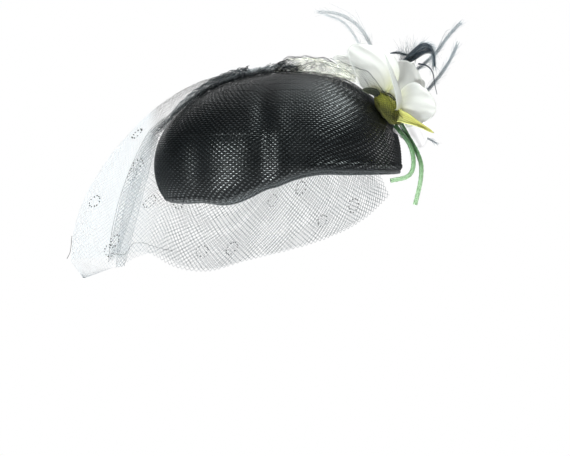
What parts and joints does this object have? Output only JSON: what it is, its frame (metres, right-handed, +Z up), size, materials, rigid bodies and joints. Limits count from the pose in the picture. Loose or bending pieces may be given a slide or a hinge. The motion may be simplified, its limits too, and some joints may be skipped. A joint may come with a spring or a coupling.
{
  "type": "fascinator",
  "caption": "Woven-straw fascinator cap with a bound rim, a net veil that stands forward of the face, and a cloth flower with a long sepal, cut stems and curled feathers at the back",
  "frame": {"origin": "the middle of the opening that the head goes into, level with the middle of the sloping rim", "axes": "+X is the wearer's left, -Y is the front, +Z is up"},
  "size_m": [0.2074, 0.3585, 0.2357],
  "materials": {
    "straw": "glossy black lacquered straw, woven",
    "binding": "black straw braid bound over the rim",
    "net": "fine black net",
    "petal": "sheer white cloth petals",
    "calyx": "dark olive cloth",
    "sepal": "yellow cloth leaf",
    "leaf": "dark olive cloth leaf",
    "stem": "pale green tube",
    "feather": "dark slate feather"
  },
  "bodies": {
    "root": {"crown": "straw", "rim_binding": "binding", "veil_left": "net", "veil_right": "net", "veil_puff": "net", "veil_tack": "net", "calyx": "calyx", "petal_top": "petal", "petal_fold": "petal", "petal_upper": "petal", "petal_right": "petal", "petal_lower": "petal", "petal_back_left": "petal", "petal_back_right": "petal", "petal_back_up": "petal", "sepal": "sepal", "leaf_tab": "leaf", "stem_long": "stem", "stem_bent": "stem", "feather_arch": "feather", "feather_arch_small": "feather", "feather_hook": "feather", "feather_long": "feather", "feather_back": "feather", "feather_low": "feather"}
  },
  "joints": []
}
